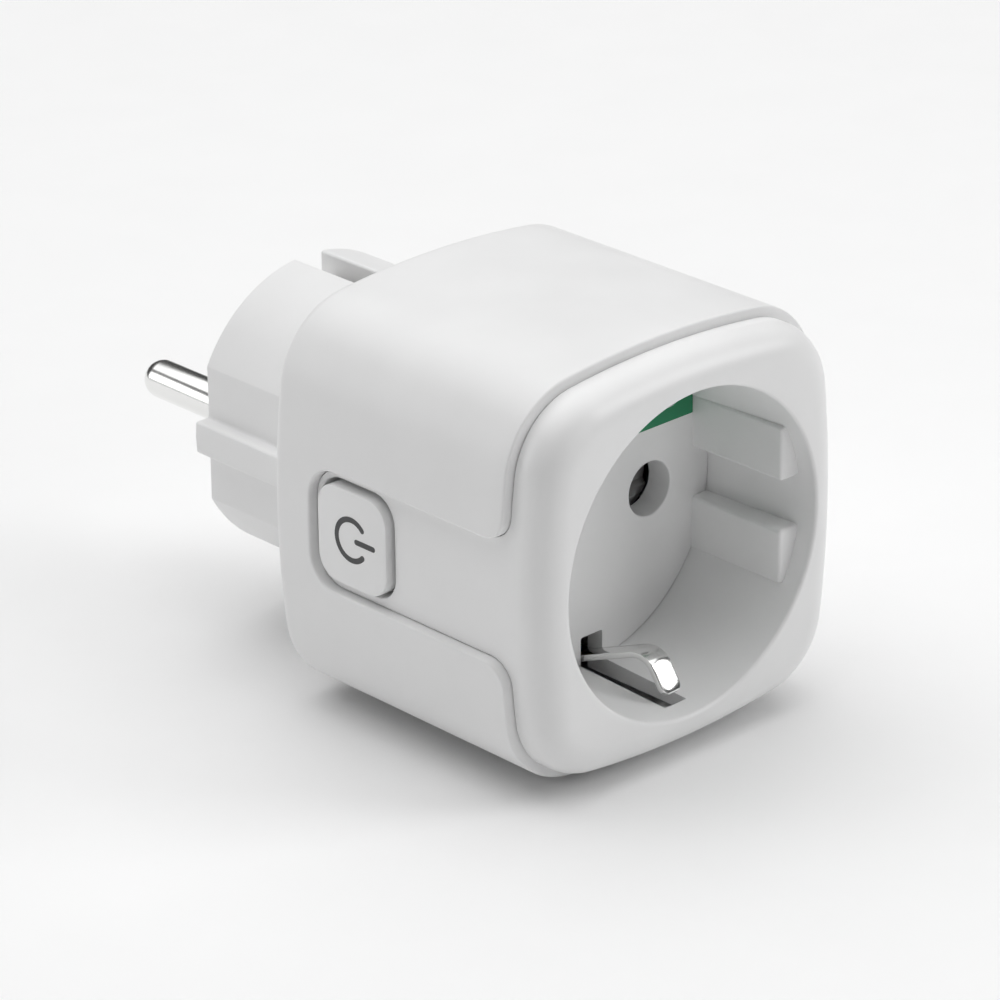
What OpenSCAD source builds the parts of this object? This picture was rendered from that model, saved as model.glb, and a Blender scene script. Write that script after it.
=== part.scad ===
// Switched smart plug: a socket in front, a plug behind, a relay and its boards between.
// The origin is on the plug's axis, on the back face that meets the wall.
// +Y runs out of the back, along the plug's pins; +Z is up; the button is on the -X side.

/* [Casing] */
// Width and height of the casing across the middle of its sides
case_w = 50.7; // [50:0.1:64]
// Depth of the sleeve, from its front edge to the face that meets the wall
case_d = 38; // [31:0.5:50]
// Radius of the sleeve's upright corners
case_corner_r = 11; // [8:0.5:13]
// Radius of the slight bow of each side
side_bow_r = 120; // [90:5:400]
// Thickness of the sleeve's sides
case_wall = 1.9; // [1.4:0.1:2.4]
// Thickness of the sleeve's back
rear_wall = 3; // [2.6:0.1:4]
// How far the front cover is set in from the sleeve
edge_step = 1.25; // [0.8:0.05:1.6]
// How far the front cover stands out of the sleeve
bezel_d = 5.4; // [4.6:0.1:7]
// Radius of the front cover's rounded edge
bezel_fillet = 4; // [2:0.1:4.4]
// Thickness of the front cover's skirt and posts' skin
cover_wall = 1.5; // [1.2:0.1:2]

/* [Socket] */
// Diameter of the socket recess at its rim
recess_d = 39.6; // [38:0.1:40]
// Diameter of the socket recess at its floor
recess_floor_d = 38.4; // [37:0.1:39]
// Depth of the socket recess
recess_depth = 16.8; // [15:0.1:20.5]
// Thickness of the socket floor
floor_t = 2.4; // [2:0.1:3]
// Distance between the two pin holes, and between the two pins
pin_pitch = 19; // [17:0.5:21]
// Diameter of the pin holes
pin_hole_d = 6.75; // [6:0.05:7]
// Length of each pin hole
pin_hole_len = 3.5; // [3:0.1:4]
// Width between the flats of the guide ribs
rib_flats = 33; // [32:0.1:35]
// Gap between the two guide ribs on one side
rib_gap = 6.2; // [5:0.1:8]
// Width of each guide rib
rib_w = 6.8; // [4:0.1:8]
// How far the guide ribs and the earth slots start behind the rim
rib_setback = 2.6; // [2:0.1:6]
// Width of the slots for the earth clips
earth_slot_w = 3.52; // [3.4:0.02:4.2]
// Height of the coloured band's lower edge above the socket's axis
label_z = 7.6; // [6:0.1:10]
// Width of the earth strips
earth_strip_w = 3; // [2.4:0.1:3.2]
// Thickness of the earth strips
earth_strip_t = 0.8; // [0.6:0.05:1]

/* [Plug] */
// Diameter of the plug body
plug_d = 37; // [36:0.1:38]
// Length of the plug body
plug_len = 22; // [20:0.5:27]
// Wall of the plug body
plug_wall = 2; // [1.6:0.1:2.4]
// Width across the plug body's side flats
plug_flats = 32.8; // [32:0.1:33.6]
// Width of the rib along each side flat
plug_rib_w = 4.05; // [3:0.05:5]
// Width across the floors of the two earth grooves
groove_floors = 30.6; // [30.2:0.1:33]
// Width of the earth grooves
groove_w = 4; // [3.8:0.1:5]
// Diameter of the plug's pins
pin_d = 4.8; // [4:0.1:5]
// How far the pins stand out of the plug body
pin_len = 19; // [15:0.5:23]

/* [Button] */
// Width of the button, across the channel
button_w = 11.9; // [10:0.1:13]
// Length of the button, along the channel
button_len = 11.5; // [10:0.1:13]
// Radius of the button's corners
button_r = 3; // [2:0.1:5]
// Gap all round the button
button_gap = 0.5; // [0.2:0.05:0.6]
// How far the button's face lies below the sleeve's side
button_sink = 0.4; // [0.2:0.05:1]
// How far the button goes in
button_travel = 0.5; // [0.2:0.05:0.6]
// Width of the channel that the button lies in
channel_w = 15; // [13:0.1:16]
// Depth of the sleeve left behind the channel
channel_end = 6.3; // [5:0.1:12]
// Radius of the channel's inner corners
channel_r = 4; // [2:0.1:5]
// Radius of the sleeve's corners where the channel opens to the front
channel_mouth_r = 3; // [1:0.1:4]

/* [Electronics] */
// Thickness of the main board
board_t = 1.6; // [1:0.1:2]
// Thickness of the control board
control_board_t = 1.2; // [0.8:0.1:1.6]
// Width of the relay
relay_w = 10.2; // [8:0.1:10.2]
// Length of the relay
relay_len = 20.4; // [20.4:0.1:22]
// Height of the relay
relay_h = 15.5; // [15.5:0.1:18]
// Diameter of the input capacitor
input_cap_d = 8; // [5:0.1:8]
// Diameter of the output capacitor
output_cap_d = 6.3; // [5:0.1:6.3]

/* [Hidden] */
$fn = 64;
eps = 0.05;        // how far a cutting shape runs past the face it cuts
fit_gap = 0.1;     // clearance of a fixed piece in its seat
run_gap = 0.05;    // radial clearance of a turning or sliding fit
label_t = 0.12;    // thickness of the coloured band

// Planes along Y, from the rim in front to the wall seat at 0
y_edge = -case_d;
y_rim = y_edge - bezel_d;
y_floor = y_rim + recess_depth;
y_floor_back = y_floor + floor_t;
y_hole_back = y_floor + pin_hole_len;
flange_t = 1.4;
spigot_r = plug_flats / 2 - 0.2;
cavity_r = spigot_r - 1.6;
y_flange = -rear_wall - flange_t;
standoff_h = 1.2;
y_board_back = y_flange - standoff_h;
y_board = y_board_back - board_t;
y_channel_end = -channel_end;

// Half widths across X and Z
case_h = case_w / 2;
bezel_h = case_h - edge_step;
skirt_h = case_h - case_wall - 0.15;
inner_h = skirt_h - cover_wall;
skirt_end_y = y_flange - 0.2;
recess_wall_r = recess_d / 2 + cover_wall;
pin_x = pin_pitch / 2;
pin_shank_r = pin_d / 2 - 0.3;
earth_slot_z = recess_floor_d / 2 - 3.7;

// Corner posts and screws
post_r = 2.6;
post_at = case_h - case_corner_r + 2.75;
screw_r = 1.3;
screw_head_r = 2.3;
screw_head_t = 1.6;
screw_len = 10.5;

// Shutter, spring and contact block
shutter_y0 = y_hole_back + 0.2;
shutter_t = 2.2;
shutter_y1 = shutter_y0 + shutter_t;
shutter_post_r = 1.2;
paddle_r = min(pin_x - 5.4, pin_hole_d / 2 + 0.73);
pad_r = pin_hole_d / 2 - 0.7;
pad_t = 0.7;
ramp_angle = 35;
ramp_back_t = 0.8;
block_y0 = shutter_y1 + 0.2;
block_y1 = y_board - 1.4;
block_x = pin_x + 4.4;
block_z = 5.4;
contact_r = pin_d / 2 + run_gap;
contact_wall = 1.15;
contact_y0 = block_y0 + 0.2;
contact_y1 = block_y1 - 0.4;

// Earth path
yoke_y1 = y_board - 0.2;
yoke_y0 = yoke_y1 - earth_strip_t;
clip_leg_z = recess_floor_d / 2 - earth_strip_t / 2 - fit_gap / 2;
strip_z = groove_floors / 2;

// Button stack, from the sleeve's side inwards along +X
button_face_x = -(case_h - button_sink);
button_y = y_channel_end - (channel_w - button_w) / 2 + 0.4 - button_len / 2;
flange_margin = 0.8;
mark_depth = 0.2;
mark_shift = 0.05;
cap_flange_x = -(inner_h - 0.25);
cap_flange_t = 0.8;
plunger_r = 1.75;
plunger_x0 = cap_flange_x + cap_flange_t + 0.05;
tact_x0 = plunger_x0 + button_travel + 0.3;
tact_h = 3.3;
control_x0 = tact_x0 + tact_h;
control_x1 = control_x0 + control_board_t;
control_y0 = button_y - 8.3;
control_y1 = y_board - 1.4;
control_z = 11.5;

// Relay, behind the main board
relay_wall = 0.5;
relay_in_x = relay_w / 2 - relay_wall;
relay_in_z = relay_len / 2 - relay_wall;
relay_y0 = y_board_back;
relay_seat_y = relay_y0 + 1.8;
relay_coil_z = 3.6;
relay_coil_r = 4.2;
relay_coil_y0 = relay_seat_y + 0.8;
relay_coil_y1 = relay_seat_y + 10;
relay_hinge_y = relay_seat_y + 11.4;
relay_hinge_z = 8.3;
relay_pole_y = relay_hinge_y - 0.6;
relay_contact_z = -6.5;
relay_contact_r = 1.2;

// Centre of a corner arc that meets the bowed sides without a kink
function corner_c(h, r, b) = (h - b + sqrt(2 * pow(b - r, 2) - pow(b - h, 2))) / 2;

// Points of the casing's outline set in by inset, for shapes that are blended
function outline_points(h, r, b, side_steps, corner_steps) =
    let (c = corner_c(h, r, b), turn = atan2(c, c - h + b))
    [for (q = [0:3]) each concat(
        [for (i = [0:side_steps])
            let (a = -turn + 2 * turn * i / side_steps, x = h - b + b * cos(a), y = b * sin(a))
            [x * cos(90 * q) - y * sin(90 * q), x * sin(90 * q) + y * cos(90 * q)]],
        [for (i = [1:corner_steps - 1])
            let (a = turn + (90 - 2 * turn) * i / corner_steps, x = c + r * cos(a), y = c + r * sin(a))
            [x * cos(90 * q) - y * sin(90 * q), x * sin(90 * q) + y * cos(90 * q)]])];

// Casing outline of half width h: four bowed sides joined by four corner arcs
module outline(h) {
    inset = case_h - h;
    b = side_bow_r - inset;
    r = case_corner_r - inset;
    c = corner_c(h, r, b);
    reach = b / (b - r);
    diamond = (h - b) + reach * (c - h + b) + reach * c;
    intersection() {
        polygon([[diamond, 0], [0, diamond], [-diamond, 0], [0, -diamond]]);
        translate([h - b, 0]) circle(b, $fn = 256);
        translate([b - h, 0]) circle(b, $fn = 256);
        translate([0, h - b]) circle(b, $fn = 256);
        translate([0, b - h]) circle(b, $fn = 256);
    }
    for (sx = [-1, 1], sz = [-1, 1])
        translate([sx * c, sz * c]) circle(r);
}

// A flat shape in X and Z, carried from y0 back to y1
module along_y(y0, y1) {
    translate([0, y1, 0]) rotate([90, 0, 0]) linear_extrude(y1 - y0) children();
}

// A flat shape in Y and Z, carried from x0 to x1
module along_x(x0, x1) {
    translate([x0, 0, 0]) rotate([90, 0, 90]) linear_extrude(x1 - x0) children();
}

// A cylinder along Y that may change from radius ra in front to rb behind
module rod_y(ra, y0, y1, x = 0, z = 0, rb = -1) {
    translate([x, y1, z]) rotate([90, 0, 0])
        cylinder(h = y1 - y0, r1 = rb < 0 ? ra : rb, r2 = ra);
}

// A cylinder along X
module rod_x(r, x0, x1, y = 0, z = 0) {
    translate([x0, y, z]) rotate([0, 90, 0]) cylinder(h = x1 - x0, r = r);
}

// A box between two corners
module block(x0, x1, y0, y1, z0, z1) {
    translate([x0, y0, z0]) cube([x1 - x0, y1 - y0, z1 - z0]);
}

// A rectangle about the origin with round corners
module rounded_square(u, v, r) {
    square([u - 2 * r, v], center = true);
    square([u, v - 2 * r], center = true);
    for (su = [-1, 1], sv = [-1, 1])
        translate([su * (u / 2 - r), sv * (v / 2 - r)]) circle(r);
}

// A bent line with each bend turned into a smooth curve that starts cut before it
function smooth_line(path, cut, steps) = [
    path[0],
    for (i = [1:len(path) - 2])
        let (before = path[i - 1] - path[i], after = path[i + 1] - path[i],
            a = path[i] + before / norm(before) * cut, b = path[i] + after / norm(after) * cut)
            for (k = [0:steps])
                let (f = k / steps)
                    pow(1 - f, 2) * a + 2 * f * (1 - f) * path[i] + f * f * b,
    path[len(path) - 1]];

// Direction of a line of points at point i, from its neighbours
function heading(line, i) =
    let (d = line[min(i + 1, len(line) - 1)] - line[max(i - 1, 0)]) d / norm(d);

// A strip of thickness t whose middle follows a line of points and whose end is round
module bent_strip(line, t) {
    last = len(line) - 1;
    sides = [for (i = [0:last]) let (h = heading(line, i)) [-h[1], h[0]] * t / 2];
    end = atan2(sides[last][1], sides[last][0]);
    polygon(concat(
        [for (i = [0:last]) line[i] + sides[i]],
        [for (a = [15:15:165]) line[last] + t / 2 * [cos(end - a), sin(end - a)]],
        [for (i = [last:-1:0]) line[i] - sides[i]]));
}

// The channel's outline in Y and Z, made smaller all round by gap, with its flared mouth in front
module channel(gap) {
    half = channel_w / 2 - gap;
    end = y_channel_end - gap;
    r = channel_r - gap;
    mouth_z = channel_w / 2 + channel_mouth_r;
    mouth_y = y_edge + channel_mouth_r;
    translate([y_edge - 1, -half]) square([end - r - y_edge + 1, 2 * half]);
    translate([end - r - eps, -half + r]) square([r + eps, 2 * (half - r)]);
    for (sz = [-1, 1]) {
        translate([end - r, sz * (half - r)]) circle(r);
        difference() {
            translate([y_edge - 1, sz > 0 ? 0 : gap - mouth_z])
                square([channel_mouth_r + 1, mouth_z - gap]);
            translate([mouth_y, sz * mouth_z]) circle(channel_mouth_r + gap);
        }
    }
}

// Four places at the casing's corners
module at_posts() {
    for (sx = [-1, 1], sz = [-1, 1])
        translate([sx * post_at, 0, sz * post_at]) children();
}

// Both pins' places
module at_pins() {
    for (sx = [-1, 1])
        translate([sx * pin_x, 0, 0]) children();
}

// Room for the earth strips where they pass a wall
module earth_passages(y0, y1) {
    for (sz = [-1, 1])
        translate([0, 0, sz * (strip_z + earth_strip_t / 2)])
            block(-earth_strip_w / 2 - 0.3, earth_strip_w / 2 + 0.3, y0, y1,
                -earth_strip_t / 2 - 0.4, earth_strip_t / 2 + 0.4);
}

module outer_sleeve() {
    color("white") difference() {
        along_y(y_edge, 0) outline(case_h);
        along_y(y_edge - eps, -rear_wall) outline(case_h - case_wall);
        rod_y(spigot_r + fit_gap, -rear_wall - eps, eps);
        along_x(-case_h - 1, -case_h / 2) channel(0);
        at_posts() {
            rod_y(screw_r + fit_gap, -rear_wall - eps, eps);
            rod_y(screw_head_r + 0.2, -screw_head_t - 0.1, eps);
        }
        earth_passages(-rear_wall - eps, eps);
    }
}

// The rounded front of the cover, blended from its face to its sides
module bezel_form() {
    hull() {
        for (i = [0:6]) {
            a = 15 * i;
            inset = bezel_fillet * (1 - cos(a));
            y = y_rim + bezel_fillet * (1 - sin(a));
            translate([0, y + 0.01, 0]) rotate([90, 0, 0]) linear_extrude(0.01)
                polygon(outline_points(bezel_h - inset, case_corner_r - edge_step - inset,
                    side_bow_r - edge_step - inset, 6, 8));
        }
        translate([0, y_edge, 0]) rotate([90, 0, 0]) linear_extrude(0.01)
            polygon(outline_points(bezel_h, case_corner_r - edge_step,
                side_bow_r - edge_step, 6, 8));
    }
}

// The guide ribs at the two sides of the recess
module guide_ribs() {
    left_extra = 0.7;
    rib_depth = 4;
    intersection() {
        rod_y(recess_d / 2 + 0.3, y_rim + rib_setback, y_floor);
        for (sx = [-1, 1], sz = [-1, 1])
            translate([sx * (rib_flats / 2 + rib_depth / 2), 0, sz * (rib_gap + rib_w) / 2])
                block(-rib_depth / 2, rib_depth / 2,
                    y_rim + (sx < 0 ? rib_setback + left_extra : 0), y_floor,
                    -rib_w / 2, rib_w / 2);
    }
}

module front_cover() {
    color("white") {
        difference() {
            union() {
                difference() {
                    union() {
                        bezel_form();
                        along_y(y_edge - eps, skirt_end_y) outline(skirt_h);
                    }
                    along_y(y_rim + 2.5, y_flange + eps) outline(inner_h);
                }
                intersection() {
                    along_y(y_edge - eps, y_channel_end) difference() {
                        outline(bezel_h);
                        outline(inner_h);
                    }
                    along_x(-case_h, -case_h / 2) channel(fit_gap);
                }
                rod_y(recess_wall_r, y_rim + 1.5, y_floor_back);
                intersection() {
                    along_y(y_rim + 2.4, y_flange) outline(skirt_h);
                    at_posts() rod_y(post_r, y_rim + 2.4, y_flange);
                }
            }
            rod_y(recess_d / 2, y_rim - eps, y_floor, rb = recess_floor_d / 2);
            rod_y(recess_floor_d / 2, y_floor - eps, y_floor_back + eps);
            for (sz = [-1, 1])
                translate([0, 0, sz * (recess_wall_r + 10) / 2])
                    block(-earth_slot_w / 2, earth_slot_w / 2, y_rim + rib_setback + 0.5,
                        y_floor_back + eps, -(recess_wall_r - 10) / 2, (recess_wall_r - 10) / 2);
            along_x(-case_h, -case_h / 2) translate([button_y, 0])
                rounded_square(button_len + 2 * button_gap, button_w + 2 * button_gap,
                    button_r + button_gap);
            at_posts() rod_y(screw_r, -screw_head_t - screw_len - 0.6, y_flange + eps);
        }
        guide_ribs();
    }
}

// The hollow that runs through the plug body
module plug_cavity() {
    intersection() {
        circle(cavity_r);
        square([plug_flats - 2 * plug_wall, 2 * cavity_r], center = true);
    }
}

module plug_body() {
    end_wall = 2.5;
    color("whitesmoke") difference() {
        union() {
            difference() {
                union() {
                    along_y(y_flange, -rear_wall) outline(skirt_h);
                    rod_y(spigot_r, -rear_wall - eps, eps);
                    intersection() {
                        rod_y(plug_d / 2, 0, plug_len);
                        union() {
                            block(-plug_flats / 2, plug_flats / 2, 0, plug_len, -plug_d, plug_d);
                            block(-plug_d, plug_d, 0, plug_len, -plug_rib_w / 2, plug_rib_w / 2);
                        }
                    }
                }
                along_y(y_flange - eps, plug_len - end_wall) plug_cavity();
            }
            at_pins() rod_y(pin_d / 2 + 1.8, plug_len - 13, plug_len - end_wall + eps);
            for (sx = [-1, 1], sz = [-1, 1])
                rod_y(1.5, y_board_back, y_flange + eps, sx * (cavity_r + 3.9), sz * 7);
        }
        at_pins() rod_y(pin_shank_r, plug_len - 13 - eps, plug_len + eps);
        at_posts() rod_y(screw_r + fit_gap, y_flange - eps, -rear_wall + eps);
        for (sz = [-1, 1])
            translate([0, 0, sz * (strip_z + 5)])
                block(-groove_w / 2, groove_w / 2, 0, plug_len + eps, -5, 5);
        earth_passages(y_flange - eps, eps);
    }
}

module case_screws() {
    color("silver") at_posts() difference() {
        union() {
            rod_y(screw_r, -screw_head_t - screw_len, -screw_head_t);
            rod_y(screw_head_r, -screw_head_t, -0.1);
        }
        for (a = [0, 90])
            rotate([0, a, 0]) block(-1.3, 1.3, -0.9, eps, -0.3, 0.3);
    }
}

// Small legs that hold the contact block behind the socket floor, clear of the shutter's sweep
module floor_legs() {
    for (s = [-1, 1]) {
        rod_y(1.2, y_floor_back - eps, block_y0, s * (pin_x + 3.1), -s * 4.6);
        rod_y(1.2, y_floor_back - eps, block_y0, s * 3.9, -s * 4.6);
    }
}

module socket_floor() {
    color("whitesmoke") difference() {
        union() {
            rod_y(recess_floor_d / 2 - run_gap, y_floor, y_floor_back);
            at_pins() rod_y(pin_hole_d / 2 + 1.3, y_floor_back - eps, y_hole_back);
            rod_y(shutter_post_r, y_floor_back - eps, shutter_y1 - 0.1);
            floor_legs();
        }
        at_pins() rod_y(pin_hole_d / 2, y_floor - eps, y_hole_back + eps);
        for (sz = [-1, 1])
            translate([0, 0, sz * (earth_slot_z + 5)])
                block(-earth_slot_w / 2, earth_slot_w / 2, y_floor - eps, y_floor_back + eps, -5, 5);
    }
}

// The coloured band across the socket floor, above the pin holes
module floor_label() {
    color("seagreen") intersection() {
        rod_y(recess_floor_d / 2 - fit_gap, y_floor - label_t, y_floor);
        block(-rib_flats / 2 + fit_gap, rib_flats / 2 - fit_gap, y_floor - 1, y_floor + 1,
            label_z, earth_slot_z - 1);
    }
}

// Plate that closes both pin holes with a raised pad each, until two pins turn it aside
module shutter() {
    color("gainsboro") difference() {
        union() {
            difference() {
                union() {
                    rod_y(3, shutter_y0 + pad_t, shutter_y1);
                    block(-pin_x, pin_x, shutter_y0 + pad_t, shutter_y1, -1.8, 1.8);
                    at_pins() rod_y(paddle_r, shutter_y0 + pad_t, shutter_y1);
                    at_pins() rod_y(pad_r, shutter_y0, shutter_y1 - eps);
                }
                for (s = [-1, 1])
                    translate([s * pin_x, shutter_y0, s * pad_r]) rotate([s * ramp_angle, 0, 0])
                        block(-paddle_r - 1, paddle_r + 1, -2 * shutter_t, 0, -paddle_r, paddle_r);
            }
            at_pins() rod_y(paddle_r, shutter_y1 - ramp_back_t, shutter_y1);
        }
        rod_y(shutter_post_r + run_gap, shutter_y0 - eps, shutter_y1 + eps);
    }
}

// Three turns of wire round the shutter's post
module shutter_spring() {
    wire_r = 0.15;
    coil_r = shutter_post_r + 0.6;
    color("silver") for (i = [0:2])
        translate([0, y_floor_back + 0.25 + 0.3 * i, 0]) rotate([90, 0, 0])
            rotate_extrude() translate([coil_r, 0]) circle(wire_r);
}

module contact_block() {
    color("dimgray") difference() {
        block(-block_x, block_x, block_y0, block_y1, -block_z, block_z);
        at_pins() {
            rod_y(contact_r + contact_wall, block_y0 - eps, contact_y1);
            rod_y(contact_r + 0.3, block_y0 - eps, block_y1 + eps);
            block(-1.1, 1.1, contact_y1 - eps, block_y1 + eps, 2.4, 3.6);
        }
        block(-3, 3, block_y0 + 1.6, block_y1 - 1.6, -block_z - eps, block_z - 1.6);
    }
}

// Split sleeve that grips one pin, with a tail through the main board
module socket_contact(x) {
    color("goldenrod") translate([x, 0, 0]) {
        difference() {
            rod_y(contact_r + contact_wall, contact_y0, contact_y1);
            rod_y(contact_r, contact_y0 - eps, contact_y1 + eps);
            block(-0.35, 0.35, contact_y0 - eps, contact_y1 - 2, -6, 0);
        }
        block(-1, 1, contact_y1 - eps, y_board_back + 0.4, 2.5, 3.5);
    }
}

module line_contact() { socket_contact(-pin_x); }

module neutral_contact() { socket_contact(pin_x); }

// Spring clip at the recess's side: its middle line in Y and Z, leaning inwards by lean
function clip_path(lean) = [
    [yoke_y0, clip_leg_z], [y_floor + 1.4, clip_leg_z], [y_floor - 8.6, clip_leg_z - lean],
    [y_floor - 10.7, clip_leg_z - lean + 0.3], [y_floor - 13.2, clip_leg_z - 0.2]];

module earth_clip(lean) {
    color("silver") along_x(-earth_strip_w / 2, earth_strip_w / 2)
        bent_strip(smooth_line(clip_path(lean), 1, 6), earth_strip_t);
}

module earth_clip_top() { earth_clip(3); }

module earth_clip_bottom() { mirror([0, 0, 1]) earth_clip(4.1); }

module earth_yoke() {
    color("silver") block(-earth_strip_w / 2, earth_strip_w / 2, yoke_y0, yoke_y1,
        -clip_leg_z - earth_strip_t / 2, clip_leg_z + earth_strip_t / 2);
}

module plug_earth_strip() {
    color("darkgray") block(-earth_strip_w / 2, earth_strip_w / 2, yoke_y1, plug_len - 2,
        strip_z, strip_z + earth_strip_t);
}

module plug_earth_top() { plug_earth_strip(); }

module plug_earth_bottom() { mirror([0, 0, 1]) plug_earth_strip(); }

// Pin with a round tip, and a thinner shank where the plug body holds it
module plug_pin(x) {
    tip_r = pin_d / 2;
    color("silver") translate([x, 0, 0]) {
        rod_y(pin_shank_r, plug_len - 16, plug_len);
        rod_y(tip_r, plug_len, plug_len + pin_len - tip_r);
        translate([0, plug_len + pin_len - tip_r, 0]) sphere(tip_r);
    }
}

module line_pin() { plug_pin(-pin_x); }

module neutral_pin() { plug_pin(pin_x); }

// Strip from a pin's inner end through the main board
module busbar(x) {
    color("goldenrod") block(x - 0.4, x + 0.4, y_board - 0.8, plug_len - 16, -3.2, 0.6);
}

module line_busbar() { busbar(-pin_x); }

module neutral_busbar() { busbar(pin_x); }

module button_cap() {
    color("white") difference() {
        union() {
            along_x(button_face_x, cap_flange_x + eps) translate([button_y, 0])
                rounded_square(button_len, button_w, button_r);
            along_x(cap_flange_x, cap_flange_x + cap_flange_t) translate([button_y, 0])
                rounded_square(button_len + 2 * flange_margin, button_w + 2 * flange_margin,
                    button_r + flange_margin);
        }
        translate([0, button_y + mark_shift, 0]) mark_form(button_face_x - eps, mark_depth);
    }
}

// The switch mark: a ring open to the front, with a bar through the opening
module mark_form(x0, depth) {
    ring_r = 2.5;
    half_line = 0.34;
    opening = 1.45;
    bar_start = 0.5;
    bar_end = 4;
    along_x(x0, button_face_x + depth) {
        difference() {
            circle(ring_r + half_line);
            circle(ring_r - half_line);
            translate([-ring_r - 1, -opening]) square([ring_r + 1, 2 * opening]);
        }
        translate([-bar_end, -half_line]) square([bar_end - bar_start, 2 * half_line]);
    }
}

module button_mark() {
    color("dimgray") translate([0, button_y + mark_shift, 0]) mark_form(button_face_x, mark_depth);
}

module tact_switch() {
    color("dimgray") difference() {
        block(tact_x0, control_x0, button_y - 3, button_y + 3, -3, 3);
        rod_x(plunger_r + run_gap, tact_x0 - eps, control_x0 - 0.7, button_y);
    }
}

module tact_plunger() {
    color("black") rod_x(plunger_r, plunger_x0, control_x0 - 0.7 - button_travel - 0.1, button_y);
}

module status_led() {
    color("lightyellow") block(control_x0 - 0.8, control_x0, button_y - 0.6, button_y + 0.6, 4, 6);
}

module main_board() {
    color("darkgreen") difference() {
        along_y(y_board, y_board_back) outline(inner_h - 0.4);
        at_posts() rod_y(post_r + 0.4, y_board - eps, y_board_back + eps);
        for (sx = [-1, 1], sz = [-1, 1])
            translate([sx * (post_at + 2), 0, sz * (post_at + 2)])
                block(-2.6, 2.6, y_board - eps, y_board_back + eps, -2.6, 2.6);
        earth_passages(y_board - eps, y_board_back + eps);
        block(-case_h, plunger_x0 + button_travel + 0.3, y_board - eps, y_board_back + eps,
            -button_w / 2 - flange_margin - 0.5, button_w / 2 + flange_margin + 0.5);
        at_pins() {
            block(-0.5, 0.5, y_board - eps, y_board_back + eps, -3.3, 0.7);
            block(-1.1, 1.1, y_board - eps, y_board_back + eps, 2.4, 3.6);
        }
    }
}

module control_board() {
    color("darkgreen") block(control_x0, control_x1, control_y0, control_y1,
        -control_z, control_z);
}

// Strip of pins that joins the control board to the main board
module board_header() {
    color("black") block(control_x0, control_x1 + 1, control_y1, y_board, -6.5, 6.5);
}

module radio_shield() {
    color("silver") difference() {
        block(control_x1, control_x1 + 1.1, control_y0 + 1, control_y0 + 10, -6, 6);
        block(control_x1 - eps, control_x1 + 0.9, control_y0 + 1.2, control_y0 + 9.8, -5.8, 5.8);
    }
}

module relay_base() {
    color("dimgray") difference() {
        block(-relay_in_x, relay_in_x, relay_y0, relay_seat_y, -relay_in_z, relay_in_z);
        block(-relay_in_x + 1, relay_in_x - 1, relay_y0 - eps, relay_y0 + 1, -5, 5);
    }
}

module relay_case() {
    color("royalblue") difference() {
        block(-relay_w / 2, relay_w / 2, relay_y0, relay_y0 + relay_h,
            -relay_len / 2, relay_len / 2);
        block(-relay_in_x, relay_in_x, relay_y0 - eps, relay_y0 + relay_h - relay_wall,
            -relay_in_z, relay_in_z);
    }
}

module relay_coil() {
    flange = 0.7;
    color("sienna") difference() {
        union() {
            rod_y(relay_coil_r, relay_coil_y0, relay_coil_y0 + flange, 0, relay_coil_z);
            rod_y(relay_coil_r - 0.4, relay_coil_y0, relay_coil_y1, 0, relay_coil_z);
            rod_y(relay_coil_r, relay_coil_y1 - flange, relay_coil_y1, 0, relay_coil_z);
        }
        rod_y(1.5, relay_coil_y0 - eps, relay_coil_y1 + eps, 0, relay_coil_z);
    }
}

module relay_core() {
    color("silver") {
        rod_y(1.5, relay_coil_y0, relay_coil_y1, 0, relay_coil_z);
        rod_y(2.6, relay_coil_y1, relay_pole_y, 0, relay_coil_z);
    }
}

// Bent steel frame: a foot under the coil and an upright beside it
module relay_yoke() {
    color("gray") {
        block(-3.8, 3.8, relay_seat_y, relay_coil_y0, relay_coil_z - 3.8, relay_hinge_z + 0.8);
        block(-3.8, 3.8, relay_seat_y, relay_hinge_y, relay_hinge_z, relay_hinge_z + 0.8);
    }
}

module relay_armature() {
    color("gray") block(-3.8, 3.8, relay_hinge_y, relay_hinge_y + 0.8, -1.5, relay_hinge_z + 0.8);
}

module relay_moving_contact() {
    color("goldenrod") {
        block(-1.5, 1.5, relay_hinge_y + 0.25, relay_hinge_y + 0.55,
            relay_contact_z - relay_contact_r, -1.5);
        rod_y(relay_contact_r, relay_hinge_y - 0.8, relay_hinge_y + 0.25, 0, relay_contact_z);
    }
}

module relay_fixed_contact() {
    top = relay_hinge_y - 1.92;
    color("goldenrod") {
        rod_y(relay_contact_r, top - 0.6, top, 0, relay_contact_z);
        block(-2, 2, top - 1.2, top - 0.6, -relay_in_z + 0.3, relay_contact_z + 1.5);
        block(-2, 2, relay_seat_y, top - 0.6, -relay_in_z + 0.3, -relay_in_z + 1.1);
    }
}

// A capacitor's can, standing on the main board
module can(d, h, x, z) {
    rod_y(d / 2, y_board - h, y_board, x, z);
}

module input_capacitor() { color("black") can(input_cap_d, 12, -7.8, 12.4); }

module output_capacitor() { color("midnightblue") can(output_cap_d, 11, 7.2, 12.2); }

module film_capacitor() {
    color("gold") block(-14, -3, y_board - 11, y_board, -14.2, -9.2);
}

module varistor() {
    color("steelblue") translate([8, y_board - 5.6, -11])
        cylinder(h = 4, r = 5, center = true);
}

module fuse_resistor() { color("tan") rod_x(1.6, 3.5, 12.5, y_board - 1.7, -17); }

module inductor() {
    color("dimgray") {
        rod_y(2.8, y_board - 7, y_board - 6, 15.6, 9);
        rod_y(2.2, y_board - 6.1, y_board - 0.9, 15.6, 9);
        rod_y(2.8, y_board - 1, y_board, 15.6, 9);
    }
}

module bridge_rectifier() {
    color("black") block(-11.9, -7.1, y_board - 2.5, y_board, -19.3, -15.3);
}

module supply_chip() { color("black") block(5.5, 10.5, y_board - 1.5, y_board, 16.2, 20.2); }

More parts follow.
